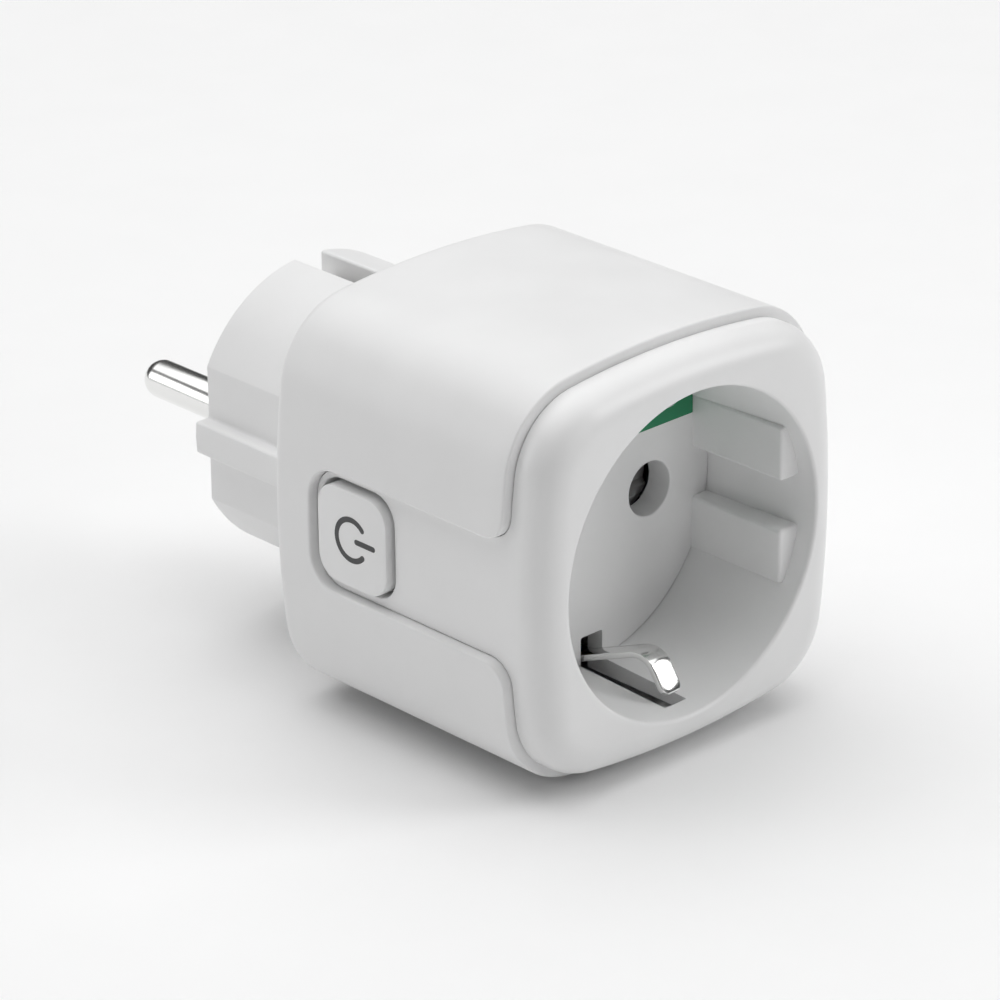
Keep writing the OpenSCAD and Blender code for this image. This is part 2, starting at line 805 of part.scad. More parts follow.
module metering_chip() { color("black") block(15, 19, y_board - 1.5, y_board, -8.5, -3.5); }

// Bridge of resistance alloy that the load's current is measured across
module current_shunt() {
    color("gray") difference() {
        block(15.5, 19.5, y_board - 3, y_board, -1.5, 4);
        block(15.5 - eps, 19.5 + eps, y_board - 2.2, y_board + eps, -0.7, 3.2);
    }
}

outer_sleeve();
front_cover();
plug_body();
case_screws();
socket_floor();
floor_label();
shutter();
shutter_spring();
contact_block();
line_contact();
neutral_contact();
earth_clip_top();
earth_clip_bottom();
earth_yoke();
plug_earth_top();
plug_earth_bottom();
line_pin();
neutral_pin();
line_busbar();
neutral_busbar();
button_cap();
button_mark();
tact_switch();
tact_plunger();
status_led();
main_board();
control_board();
board_header();
radio_shield();
relay_base();
relay_case();
relay_coil();
relay_core();
relay_yoke();
relay_armature();
relay_moving_contact();
relay_fixed_contact();
input_capacitor();
output_capacitor();
film_capacitor();
varistor();
fuse_resistor();
inductor();
bridge_rectifier();
supply_chip();
metering_chip();
current_shunt();
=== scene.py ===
"""Switched smart plug: the pieces that show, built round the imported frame.

Shapes are worked out in millimetres as whole numpy arrays and become metres when a mesh is made.
Most of the casing lies on one outline, a square with slightly bowed sides and round corners, so a
place on it is a length s along that outline, a depth y and an inset measured straight inwards.
"""

import bmesh
import bpy
import numpy as np
from bpy.props import FloatProperty, FloatVectorProperty, PointerProperty
from mathutils import Matrix, Vector


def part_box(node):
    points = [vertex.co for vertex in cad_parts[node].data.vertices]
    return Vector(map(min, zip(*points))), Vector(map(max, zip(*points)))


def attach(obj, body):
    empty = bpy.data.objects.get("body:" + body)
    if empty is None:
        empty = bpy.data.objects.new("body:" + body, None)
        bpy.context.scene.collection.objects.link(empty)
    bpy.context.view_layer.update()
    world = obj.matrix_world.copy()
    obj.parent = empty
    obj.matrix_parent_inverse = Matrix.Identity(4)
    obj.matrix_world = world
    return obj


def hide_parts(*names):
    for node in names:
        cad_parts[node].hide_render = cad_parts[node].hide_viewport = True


bl_info = {
    "name": "Smart plug",
    "version": (1, 0, 0),
    "blender": (4, 5, 0),
    "location": "3D View > Sidebar > Smart plug",
    "description": "Builds a switched smart plug round its packed frame",
    "category": "Add Mesh",
}

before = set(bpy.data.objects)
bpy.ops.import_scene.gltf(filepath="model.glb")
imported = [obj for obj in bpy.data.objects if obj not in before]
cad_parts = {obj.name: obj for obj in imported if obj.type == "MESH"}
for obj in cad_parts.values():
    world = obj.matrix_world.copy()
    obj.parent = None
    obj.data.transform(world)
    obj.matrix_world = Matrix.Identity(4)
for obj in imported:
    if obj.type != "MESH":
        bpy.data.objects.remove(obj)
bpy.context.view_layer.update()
MM = 0.001
QUARTER = np.pi / 2


def reach(node):
    """Lowest and highest corner of a CAD node, in millimetres."""
    low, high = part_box(node)
    return np.array(low) / MM, np.array(high) / MM


SLEEVE_LOW, SLEEVE_HIGH = reach("outer_sleeve")
COVER_LOW, COVER_HIGH = reach("front_cover")
FLOOR_LOW, FLOOR_HIGH = reach("socket_floor")
BAND_LOW, BAND_HIGH = reach("floor_label")
BODY_LOW, BODY_HIGH = reach("plug_body")
CAP_LOW, CAP_HIGH = reach("button_cap")
PIN_LOW, PIN_HIGH = reach("neutral_pin")
STRIP_LOW, STRIP_HIGH = reach("plug_earth_top")
CLIP_HIGH = reach("earth_clip_top")[1]
SCREW_LOW, SCREW_HIGH = reach("case_screws")

# Millimetres. Both pins and both pin holes stand at PIN_X, and a screw at each SCREW_PLACES (x, z).
SIDES = (-1, 1)
PIN_X = (-9.5, 9.5)
PIN_RADIUS, SHANK_RADIUS = 2.4, 2.1
SCREW_PLACES = [(x, z) for x in (-17.1, 17.1) for z in (-17.1, 17.1)]
HEAD_RADIUS, HEAD_SEAT = 2.3, -1.6
OPENING_RADIUS, SPIGOT_RADIUS = 16.3, 16.2
PLUG_RADIUS, CAVITY_RADIUS, CAVITY_END = 18.5, 14.4, 19.5
FLANGE_END = -3.02
FACE_WALL, RECESS_OUTSIDE = 2.4, 21.3
FLOOR_CLEARANCE = 0.05
CAP_FLANGE = 0.8
CLIP_THICKNESS, CLIP_WIDTH = 0.8, 3.0
SHARP_ANGLE = np.radians(32.0)

CAMERA_PLACE = (-342.362, -374.672, 218.963)
CAMERA_AIM = (-11.411, -23.4, 4.049)
CAMERA_ROLL = np.radians(-0.466)
SENSOR_WIDTH, FOCAL_LENGTH = 36.0, 167.75

# Metres. Each light: name, place, point it faces, width, height, watts.
FLOOR_REACH, FLOOR_DROP = 0.9, 0.0002
CENTRE = (0.0, -0.01, 0.0)
LIGHTS = (
    ("top_light", (0.15, 0.35, 1.5), (0.1, 0.2, 0.0), 2.6, 2.6, 32.0),
    ("near_top_light", (-0.02, 0.12, 0.6), CENTRE, 0.4, 0.4, 0.5),
    ("left_light", (-0.75, 0.75, 0.3), CENTRE, 0.6, 0.5, 1.9),
    ("front_light", (0.1, -0.9, 0.3), CENTRE, 0.4, 0.4, 0.6),
    ("right_light", (0.66, -0.68, 0.56), CENTRE, 0.45, 0.45, 2.9),
)
WORLD_STRENGTH, WORLD_WHITE = 0.04, 0.95


def length(name, default_mm, about):
    """A length in the sidebar, kept in metres."""
    return FloatProperty(name=name, description=about, default=default_mm * MM, min=0.0,
                         unit="LENGTH", precision=5)


def paint(name, colour, about):
    """A colour in the sidebar."""
    return FloatVectorProperty(name=name, description=about, default=colour, min=0.0, max=1.0,
                               size=3, subtype="COLOR")


class PlugSizes(bpy.types.PropertyGroup):
    """Sizes of the casing, the socket, the button and the plug that the frame's boxes don't give."""

    corner_radius: length("Corner radius", 11.0, "Radius of the casing's long corners")
    side_bow: length("Side bow", 120.0, "Radius of the slight bow of each side")
    sleeve_wall: length("Sleeve wall", 1.9, "Thickness of the sleeve's sides")
    rear_wall: length("Rear wall", 3.0, "Thickness of the sleeve's back")
    sleeve_edge: length("Sleeve edge", 0.28, "Rounding of the sleeve's front edge")
    rear_edge: length("Rear edge", 1.3, "Rounding of the sleeve's back edge")
    cover_fillet: length("Cover fillet", 4.0, "Rounding of the front cover's edge")
    cover_wall: length("Cover wall", 2.3, "Thickness of the front cover")
    seam: length("Seam", 0.06, "Gap between the sleeve and the front cover")
    channel_width: length("Channel width", 15.0, "Width of the channel that holds the button")
    channel_end: length("Channel end", 6.3, "Depth of the sleeve left behind the channel")
    channel_radius: length("Channel radius", 4.0, "Radius of the channel's inner corners")
    mouth_radius: length("Mouth radius", 3.0, "Radius where the channel opens to the front")
    recess_width: length("Recess width", 39.6, "Diameter of the socket recess at its rim")
    rim_edge: length("Rim edge", 0.45, "Rounding of the recess's rim")
    rib_flats: length("Rib flats", 33.0, "Width between the flats of the guide ribs")
    rib_gap: length("Rib gap", 6.2, "Gap between two guide ribs")
    rib_width: length("Rib width", 6.8, "Width of one guide rib")
    rib_setback: length("Rib setback", 2.6, "How far the ribs start behind the rim")
    rib_edge: length("Rib edge", 0.4, "Rounding of the guide ribs")
    hole_width: length("Pin hole", 6.75, "Diameter of the socket's pin holes")
    slot_width: length("Earth slot", 3.52, "Width of the slots for the earth clips")
    button_gap: length("Button gap", 0.5, "Gap round the button")
    button_radius: length("Button radius", 3.0, "Radius of the button's corners")
    button_edge: length("Button edge", 0.14, "Rounding of the button's face")
    flat_width: length("Plug flats", 32.8, "Width across the plug body's side flats")
    groove_width: length("Groove width", 4.0, "Width of the plug body's earth grooves")
    groove_floors: length("Groove floors", 30.6, "Width across the floors of the earth grooves")
    side_rib: length("Side rib", 4.05, "Width of the plug body's side ribs")
    plug_edge: length("Plug edge", 0.25, "Rounding of the plug body's end")


class PlugColours(bpy.types.PropertyGroup):
    """Colours of the finishes."""

    shell: paint("Shell", (0.86, 0.86, 0.86), "Sleeve and plug body")
    cover: paint("Cover", (0.87, 0.87, 0.87), "Front cover, socket floor and button")
    band: paint("Band", (0.012, 0.22, 0.095), "Band across the socket floor")
    mark: paint("Mark", (0.06, 0.06, 0.062), "Switch mark on the button")
    nickel: paint("Nickel", (0.85, 0.85, 0.84), "Pins and earth clips")
    brass: paint("Brass", (0.66, 0.44, 0.17), "Socket contacts and busbars")
    # Painted shade: the shutter's dark grey stands in for the shade that falls on it behind the pin
    # holes.
    shutter: paint("Shutter", (0.33, 0.33, 0.33), "Shutter behind the pin holes")
    board: paint("Board", (0.01, 0.11, 0.045), "Circuit boards")


def size(name):
    """One of the sizes, in millimetres."""
    return getattr(bpy.context.scene.plug_sizes, name) / MM


# ---------------------------------------------------------------- the casing's outline

def casing_arcs(half, corner, bow):
    """The nine arcs of the outline, from the middle of the button's side round to itself.

    Four side arcs of radius bow are centred on the axes at half - bow. A corner arc of radius
    corner touches two of them from inside when its centre (c, c) is bow - corner away from a side
    arc's centre, which gives c as the root of a quadratic.
    """
    c = (half - bow + np.sqrt(2 * (bow - corner) ** 2 - (bow - half) ** 2)) / 2
    turn = np.arctan2(c, c - half + bow)
    quarter = np.arange(4) * QUARTER
    starts = np.concatenate([[0], np.stack([quarter + turn, quarter + QUARTER - turn], 1).ravel()])
    ends = np.append(starts[1:], 4 * QUARTER)
    radii = np.where(np.arange(9) % 2 == 0, bow, corner)
    side = np.ceil(np.arange(9) / 2) * QUARTER
    diagonal = (np.arange(9) // 2 + 0.5) * QUARTER
    is_side = np.arange(9) % 2 == 0
    angle = np.where(is_side, side, diagonal)
    out = np.where(is_side, half - bow, c * np.sqrt(2))
    centres = np.stack([out * np.cos(angle), out * np.sin(angle)], 1)
    breaks = np.concatenate([[0], np.cumsum(radii * (ends - starts))])
    return {"half": half, "corner": corner, "bow": bow, "c": c, "turn": turn, "starts": starts,
            "radii": radii, "centres": centres, "breaks": breaks, "length": breaks[-1]}


def on_casing(arcs, s, y, inset):
    """Points at length s, depth y and inset: an arc's centre plus its radius less the inset."""
    s, y, inset = np.broadcast_arrays(np.asarray(s, float), y, inset)
    i = np.clip(np.searchsorted(arcs["breaks"], s, "right") - 1, 0, 8)
    angle = arcs["starts"][i] + (s - arcs["breaks"][i]) / arcs["radii"][i]
    radius = arcs["radii"][i] - inset
    x = -(arcs["centres"][i, 0] + radius * np.cos(angle))
    z = arcs["centres"][i, 1] + radius * np.sin(angle)
    return np.stack([x, y, z], -1)


def depth_inside(arcs, x, z):
    """Distance of a point from the outline, inwards: from the corner arc between its two tangent
    lines, and elsewhere from the nearer of the two side arcs."""
    x, z = np.abs(x), np.abs(z)
    u, v = x - arcs["c"], z - arcs["c"]
    angle = np.arctan2(v, u)
    near_corner = (angle >= arcs["turn"]) & (angle <= QUARTER - arcs["turn"])
    offset = arcs["half"] - arcs["bow"]
    to_sides = arcs["bow"] - np.maximum(np.hypot(x - offset, z), np.hypot(x, z - offset))
    return np.where(near_corner, arcs["corner"] - np.hypot(u, v), to_sides)


def channel_line(arcs):
    """The sleeve's front boundary on its unrolled surface, from the channel's far end to the
    opposite side and back: straight across the end, a corner arc, along the channel's side, the
    mouth's arc the other way round, and along the front edge. Gives the points (s, y), the
    direction into the sleeve, the run up to the front edge and whether a point lies on it."""
    half_w, end = size("channel_width") / 2, -size("channel_end")
    r, mouth, edge = size("channel_radius"), size("mouth_radius"), SLEEVE_LOW[1]
    bend = np.linspace(QUARTER, 0, 16)
    flare = np.linspace(np.pi, 1.5 * np.pi, 16)
    across = np.linspace(0, half_w - r, 7)[:-1]
    along = np.linspace(end - r, edge + mouth, 34)[1:-1]
    front = np.linspace(half_w + mouth, arcs["length"] / 2, 130)[1:]
    s = np.concatenate([across, half_w - r + r * np.cos(bend), np.full(along.size, half_w),
                        half_w + mouth + mouth * np.cos(flare), front])
    y = np.concatenate([np.full(across.size, end), end - r + r * np.sin(bend), along,
                        edge + mouth + mouth * np.sin(flare), np.full(front.size, edge)])
    ns = np.concatenate([0 * across, np.cos(bend), 0 * along + 1, -np.cos(flare), 0 * front])
    ny = np.concatenate([0 * across + 1, np.sin(bend), 0 * along, -np.sin(flare), 0 * front + 1])
    run = np.concatenate([[0], np.cumsum(np.hypot(np.diff(s), np.diff(y)))])
    on_front = np.arange(s.size) >= s.size - front.size
    return {"s": s, "y": y, "ns": ns, "ny": ny, "run": run, "on_front": on_front,
            "turns": run[[across.size + 15, across.size + 15 + along.size, s.size - front.size - 1]]}


def casing():
    """The casing's outline, from the sizes in the sidebar."""
    return casing_arcs(SLEEVE_HIGH[0], size("corner_radius"), size("side_bow"))


def both_halves(arcs, upper):
    """Upper half of a closed row followed by its mirror image below, without repeated ends."""
    s, y, inset = np.broadcast_arrays(*upper)
    points = on_casing(arcs, s, y, inset)
    lower = points[-2:0:-1] * [1, 1, -1]
    return np.concatenate([points, lower])


def beside(arcs, path, offset, inset):
    """Row beside the sleeve's front boundary, at an offset towards the sleeve and an inset."""
    return both_halves(arcs, (path["s"] + offset * path["ns"], path["y"] + offset * path["ny"],
                              inset))


def away(arcs, path, offset, inset, share, s_end, y_end):
    """Row a share of the way from beside the boundary to the points (s_end, y_end)."""
    s0, y0 = path["s"] + offset * path["ns"], path["y"] + offset * path["ny"]
    return both_halves(arcs, (s0 + (s_end - s0) * share, y0 + (y_end - y0) * share, inset))


def spread(path, places, half):
    """Lengths along a far edge for the boundary's points: the channel's three turns come to the
    places given, and the end of the front edge to half the outline."""
    return np.interp(path["run"], [0, *path["turns"], path["run"][-1]], [0, *places, half])


def ring_row(radius, y, like):
    """Circle of a radius at depth y whose points face those of another row."""
    angle = np.arctan2(like[:, 2], like[:, 0])
    return np.stack([radius * np.cos(angle), np.full(angle.size, float(y)),
                     radius * np.sin(angle)], 1)


def between(row_a, row_b, steps):
    """Rows on straight lines from one row, which is left out, to another."""
    share = np.linspace(0, 1, steps + 1)[1:]
    return list(row_a + (row_b - row_a) * share[:, None, None])


# ---------------------------------------------------------------- outlines, prisms and lathes

def round_outline(corners, steps=6):
    """Closed outline with round corners: corners holds (u, v, radius) in order. A corner's arc
    touches both of its sides, so it starts radius * tan(half the turn) from the corner. Gives
    points and outward directions; the outline runs anticlockwise."""
    corners = np.array(corners, float)
    points, radii = corners[:, :2], corners[:, 2]
    before = points - np.roll(points, 1, 0)
    before /= np.linalg.norm(before, axis=1)[:, None]
    after = np.roll(before, -1, 0)
    turn = np.arctan2(before[:, 0] * after[:, 1] - before[:, 1] * after[:, 0],
                      (before * after).sum(1))
    side = np.sign(turn)
    trim = radii * np.tan(np.abs(turn) / 2)
    left = np.stack([-before[:, 1], before[:, 0]], 1)
    centre = points - before * trim[:, None] + left * (side * radii)[:, None]
    sweep = np.linspace(0, 1, steps)[None, :] * turn[:, None]
    start = np.arctan2(-left[:, 1], -left[:, 0])[:, None]
    out = np.stack([np.cos(start + sweep), np.sin(start + sweep)], -1)
    line = centre[:, None] + out * (side * radii)[:, None, None]
    keep = np.broadcast_to((radii[:, None] > 0) | (np.arange(steps)[None, :] == steps // 2),
                           sweep.shape).ravel()
    return line.reshape(-1, 2)[keep], out.reshape(-1, 2)[keep]


def round_rectangle(width, height, radius, centre=(0, 0), steps=8):
    """Rectangle with round corners."""
    u, v = width / 2, height / 2
    points, out = round_outline([(u, -v, radius), (u, v, radius), (-u, v, radius),
                                 (-u, -v, radius)], steps)
    return points + np.array(centre), out


def circle(radius, centre=(0, 0), steps=96):
    """Circle and its outward directions."""
    angle = np.linspace(0, 2 * np.pi, steps, endpoint=False)
    out = np.stack([np.cos(angle), np.sin(angle)], 1)
    return np.array(centre) + radius * out, out


def run_along(line):
    """Distance run along a line at each of its points."""
    return np.concatenate([[0], np.cumsum(np.linalg.norm(np.diff(line, axis=0), axis=1))])


def heading(line):
    """Unit directions along a line at its points."""
    along = np.gradient(line, axis=0)
    return along / np.linalg.norm(along, axis=1)[:, None]


AXES = {"x": (2, 0, 1), "y": (0, 2, 1)}


def laid(points, height, axis):
    """Flat points (u, v) at a height along an axis, as (x, y, z). Along x, u is y and v is z."""
    full = np.concatenate([points, np.full((len(points), 1), float(height))], 1)
    return full[:, AXES[axis]]


def prism(outline, low, high, axis="y", edges=(0.0, 0.0), steps=6):
    """Outline carried along an axis from low to high. Each end's edge is a quarter circle: at
    angle a the outline is inset by edge * (1 - cos a) and lies edge * (1 - sin a) from the end."""
    points, out = outline
    rows = []
    for end, edge, sign in ((low, edges[0], 1), (high, edges[1], -1)):
        angle = np.linspace(QUARTER, 0, steps) if edge else np.zeros(1)
        rows.append([laid(points - out * edge * (1 - np.cos(a)),
                          end + sign * edge * (1 - np.sin(a)), axis) for a in angle])
    return np.array(rows[0] + rows[1][::-1])


def lathe(radii, heights, centre, steps):
    """Profile turned about a line along Y: each profile point gives one circle."""
    return np.array([laid(circle(r, centre, steps)[0], h, "y") for r, h in zip(radii, heights)])


def quarter(radius, height, edge, up=True, steps=8):
    """Profile of a round edge, from the side at a radius onto the end at a height."""
    a = np.linspace(0, QUARTER, steps)
    sign = 1 if up else -1
    return radius - edge * (1 - np.cos(a)), height - sign * edge * (1 - np.sin(a))


# ---------------------------------------------------------------- meshes

def grid_faces(rows, columns, closed_rows, first):
    """Corner numbers of the four-sided faces of a grid whose columns close on themselves."""
    last = rows if closed_rows else rows - 1
    i, j = np.meshgrid(np.arange(last), np.arange(columns), indexing="ij")
    i2, j2 = (i + 1) % rows, (j + 1) % columns
    quads = np.stack([i * columns + j, i * columns + j2, i2 * columns + j2, i2 * columns + j], -1)
    return quads.reshape(-1, 4) + first


def skin(name, grids, closed_rows=False):
    """Object whose mesh is made of grids of points in millimetres, all closed shells. The first
    and last rows of a grid are the borders of its two flat ends, unless its rows close too."""
    points, faces, first = [], [], 0
    for grid in grids:
        grid = np.asarray(grid, float)
        rows, columns = grid.shape[:2]
        points.append(grid.reshape(-1, 3))
        faces += grid_faces(rows, columns, closed_rows, first).tolist()
        if not closed_rows:
            border = np.arange(columns) + first
            faces += [border[::-1].tolist(), (border + (rows - 1) * columns).tolist()]
        first += rows * columns
    mesh = bpy.data.meshes.new(name)
    mesh.from_pydata(np.concatenate(points) * MM, [], faces)
    piece = bpy.data.objects.new(name, mesh)
    bpy.context.scene.collection.objects.link(piece)
    tidy_mesh(mesh)
    return piece


def tidy_mesh(mesh):
    """Merges points that coincide, turns faces outwards and smooths all but sharp edges."""
    work = bmesh.new()
    work.from_mesh(mesh)
    bmesh.ops.remove_doubles(work, verts=work.verts, dist=2e-7)
    bmesh.ops.dissolve_degenerate(work, edges=work.edges, dist=1e-8)
    bmesh.ops.recalc_face_normals(work, faces=work.faces)
    loose = sum(len(edge.link_faces) != 2 for edge in work.edges)
    work.to_mesh(mesh)
    work.free()
    if loose:
        raise RuntimeError(f"{mesh.name} has {loose} edges without two faces")
    mesh.shade_smooth()
    mesh.set_sharp_from_angle(angle=SHARP_ANGLE)


def carve(piece, operation, others):
    """Joins others to a piece or cuts them out of it, and removes them."""
    for other in others:
        change = piece.modifiers.new("cut", "BOOLEAN")
        change.operation, change.object, change.solver = operation, other, "EXACT"
    graph = bpy.context.evaluated_depsgraph_get()
    result = bpy.data.meshes.new_from_object(piece.evaluated_get(graph))
    old = piece.data
    piece.modifiers.clear()
    piece.data = result
    bpy.data.meshes.remove(old)
    for other in others:
        mesh = other.data
        bpy.data.objects.remove(other)
        bpy.data.meshes.remove(mesh)
    tidy_mesh(result)


def finish_piece(piece, body, slot, *nodes):
    """Puts a piece on its body with its slot's finish, in place of the CAD nodes it stands for."""
    coat(piece, slot)
    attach(piece, body)
    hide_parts(*nodes)


# ---------------------------------------------------------------- finishes

def material(name, low, high, grain, rough=(0.4, 0.5), bump=0.0, fine=2600.0, metallic=0.0,
             stretch=(1, 1, 1), wave=None, **sockets):
    """Finish whose colour and roughness follow one noise and whose relief follows a finer one.

    Colour runs from low to high as the noise of that grain rises from 0.3 to 0.7. wave, if given, is
    (axis, bands per metre) and puts turns of wire or lines in place of the noise; the relief then
    follows the wave too, so the low colour lies in its grooves as painted shade.
    """
    made = bpy.data.materials.new("finish_" + name)
    made.use_nodes = True
    tree = made.node_tree
    shader = tree.nodes["Principled BSDF"]
    shader.inputs["Metallic"].default_value = metallic
    for socket, value in sockets.items():
        shader.inputs[socket.replace("_", " ")].default_value = value
    place = tree.nodes.new("ShaderNodeTexCoord")
    turn = tree.nodes.new("ShaderNodeMapping")
    turn.inputs["Scale"].default_value = stretch
    tree.links.new(place.outputs["Object"], turn.inputs["Vector"])
    if wave:
        pattern = tree.nodes.new("ShaderNodeTexWave")
        pattern.bands_direction = wave[0]
        pattern.inputs["Scale"].default_value = wave[1]
        pattern.inputs["Distortion"].default_value = 0.3
    else:
        pattern = tree.nodes.new("ShaderNodeTexNoise")
        pattern.inputs["Scale"].default_value = grain
        pattern.inputs["Detail"].default_value = 4.0
    tree.links.new(turn.outputs["Vector"], pattern.inputs["Vector"])
    ramp = tree.nodes.new("ShaderNodeValToRGB")
    ramp.color_ramp.elements[0].position = 0.3
    ramp.color_ramp.elements[0].color = (*low, 1)
    ramp.color_ramp.elements[1].position = 0.7
    ramp.color_ramp.elements[1].color = (*high, 1)
    tree.links.new(pattern.outputs["Fac"], ramp.inputs["Fac"])
    tree.links.new(ramp.outputs["Color"], shader.inputs["Base Color"])
    gloss = tree.nodes.new("ShaderNodeMapRange")
    gloss.inputs["From Min"].default_value = 0.3
    gloss.inputs["From Max"].default_value = 0.7
    gloss.inputs["To Min"].default_value = rough[0]
    gloss.inputs["To Max"].default_value = rough[1]
    tree.links.new(pattern.outputs["Fac"], gloss.inputs["Value"])
    tree.links.new(gloss.outputs["Result"], shader.inputs["Roughness"])
    if bump:
        relief = tree.nodes.new("ShaderNodeTexNoise")
        relief.inputs["Scale"].default_value = fine
        relief.inputs["Detail"].default_value = 2.0
        tree.links.new(turn.outputs["Vector"], relief.inputs["Vector"])
        raised = tree.nodes.new("ShaderNodeBump")
        raised.inputs["Strength"].default_value = 1.0
        raised.inputs["Distance"].default_value = bump * MM
        source = pattern.outputs["Fac"] if wave else relief.outputs["Fac"]
        tree.links.new(source, raised.inputs["Height"])
        tree.links.new(raised.outputs["Normal"], shader.inputs["Normal"])
    return made


def shade(colour, share):
    """A colour made lighter or darker by a share."""
    return tuple(float(np.clip(c * share, 0, 1)) for c in colour)


def plastic(name, colour, rough, bump=0.004, spread=0.015, **sockets):
    """Moulded plastic: nearly even colour, a faint grain and a soft gloss."""
    return material(name, shade(colour, 1 - spread), shade(colour, 1 + spread), 90.0,
                    (rough - 0.03, rough + 0.03), bump, **sockets)


def metal(name, colour, rough, bump=0.002, stretch=(1, 1, 1), spread=0.06):
    """Metal with a little tarnish and fine marks, longer one way where it was drawn or rolled."""
    return material(name, shade(colour, 1 - spread), shade(colour, 1 + spread), 160.0,
                    (rough * 0.8, rough * 1.25), bump, 1500.0, 1.0, stretch)


# ---------------------------------------------------------------- operators

class PLUG_OT_finishes(bpy.types.Operator):
    """Makes the finishes of the plastics, metals and electronic parts"""

    bl_idname = "plug.finishes"
    bl_label = "Make the finishes"

    def execute(self, context):
        tint = context.scene.plug_colours
        plastic("shell_white", tint.shell, 0.42, 0.003)
        plastic("cover_white", tint.cover, 0.34, 0.0015)
        plastic("label_green", tint.band, 0.42, 0.002, 0.08)
        # Painted shade: the shutter is made dark grey for the shade behind the pin holes.
        plastic("shutter_grey", tint.shutter, 0.45, 0.003)
        plastic("inner_black", (0.02, 0.02, 0.022), 0.5, 0.006, 0.1)
        plastic("mark_grey", tint.mark, 0.5, 0.002, 0.06)
        plastic("relay_blue", (0.02, 0.12, 0.42), 0.35, 0.003, 0.05)
        plastic("can_black", (0.018, 0.018, 0.022), 0.32, 0.002, 0.15)
        plastic("film_yellow", (0.75, 0.48, 0.05), 0.33, 0.004, 0.05)
        plastic("varistor_blue", (0.03, 0.16, 0.5), 0.28, 0.01, 0.08)
        plastic("resistor_tan", (0.55, 0.42, 0.26), 0.5, 0.01, 0.08)
        plastic("ferrite", (0.06, 0.058, 0.056), 0.6, 0.012, 0.2)
        plastic("chip_black", (0.025, 0.025, 0.026), 0.55, 0.004, 0.15)
        plastic("led_clear", (0.8, 0.9, 0.82), 0.15, 0.001, Transmission_Weight=0.6)
        metal("contact_brass", tint.brass, 0.3, 0.003, (1, 0.2, 1))
        metal("clip_nickel", tint.nickel, 0.16, 0.0006, (1, 0.15, 1), 0.03)
        metal("pin_nickel", tint.nickel, 0.2, 0.0008, (1, 0.1, 1), 0.03)
        # Painted shade: the plug's earth strips are a darkened copy of the nickel, standing in for
        # the shade down in their grooves.
        metal("earth_dark", (0.42, 0.41, 0.4), 0.3, 0.002, (1, 0.15, 1))
        metal("zinc_steel", (0.62, 0.62, 0.63), 0.32, 0.004)
        metal("spring_steel", (0.5, 0.5, 0.51), 0.26, 0.002, (1, 1, 0.3))
        material("board_green", shade(tint.board, 0.7), shade(tint.board, 1.5), 420.0,
                 (0.28, 0.42), 0.01, 900.0)
        # Painted shade: the coil's dark copper falls in the grooves between the wire turns.
        material("coil_copper", (0.28, 0.09, 0.03), (0.75, 0.32, 0.12), 0.0, (0.25, 0.4), 0.05,
                 metallic=1.0, wave=("Z", 700.0))
        return {"FINISHED"}


def coat(piece, slot):
    """Gives a piece the finish of a slot and no other."""
    piece.data.materials.clear()
    piece.data.materials.append(bpy.data.materials["finish_" + slot])


class PLUG_OT_sleeve(bpy.types.Operator):
    """Outer sleeve: wall, channel for the button, rounded edges, back with a round opening"""

    bl_idname = "plug.sleeve"
    bl_label = "Build the sleeve"

    def execute(self, context):
        """Each row joins a place on the front boundary to the same place in the next row: the
        boundary wall, a quarter round, straight lines to the back along the surface, a quarter
        round, a loft to the opening's circle and the same way back inside."""
        arcs = casing()
        path = channel_line(arcs)
        wall, edge, back = size("sleeve_wall"), size("sleeve_edge"), size("rear_edge")
        end = SLEEVE_HIGH[1]
        inner_end = end - size("rear_wall")
        s_back = spread(path, (9.5, 19, 21.5), arcs["length"] / 2)
        rows = [beside(arcs, path, 0, d) for d in np.linspace(wall, edge, 4)[:-1]]
        rows += [beside(arcs, path, edge * (1 - np.cos(a)), edge * (1 - np.sin(a)))
                 for a in np.linspace(0, QUARTER, 7)]
        rows += [away(arcs, path, edge, 0, share, s_back, end - back)
                 for share in np.linspace(0, 1, 22)[1:-1]]
        rows += [both_halves(arcs, (s_back, end - back * (1 - np.sin(a)), back * (1 - np.cos(a))))
                 for a in np.linspace(0, QUARTER, 9)]
        rows += between(rows[-1], ring_row(OPENING_RADIUS, end, rows[-1]), 10)
        inner = ring_row(OPENING_RADIUS, inner_end, rows[-1])
        rows += between(rows[-1], inner, 3)
        rows += between(inner, both_halves(arcs, (s_back, inner_end, wall)), 8)
        rows += [away(arcs, path, edge, wall, share, s_back, inner_end)
                 for share in np.linspace(1, 0, 12)[1:]]
        sleeve = skin("sleeve", [np.array(rows)], closed_rows=True)
        cut_from, cut_to, hole_radius, slot_z = -1.7, 1.0, 2.5, 16
        holes = [skin("hole", [prism(circle(hole_radius, place, 48), cut_from, cut_to)])
                 for place in SCREW_PLACES]
        slots = [skin("slot", [prism(round_rectangle(3.4, 2.0, 0.2, (0, sz * slot_z)),
                                     -4.0, cut_to)]) for sz in SIDES]
        carve(sleeve, "DIFFERENCE", holes + slots)
        finish_piece(sleeve, "housing", "shell_white", "outer_sleeve")
        return {"FINISHED"}


def well(outline, top, depth, axis, edge, steps=7):
    """Cutter for an opening whose rim is rounded outwards: above the surface it is wider by
    edge, and below it narrows by edge * (1 - sin a) at a depth of edge * (1 - cos a)."""
    points, out = outline
    sign = np.sign(depth)
    angle = np.linspace(0, QUARTER, steps)
    rows = [laid(points + out * edge, top - sign * 2.0, axis)]
    rows += [laid(points + out * edge * (1 - np.sin(a)), top + sign * edge * (1 - np.cos(a)),
                  axis) for a in angle]
    rows.append(laid(points, top + depth, axis))
    return np.array(rows)


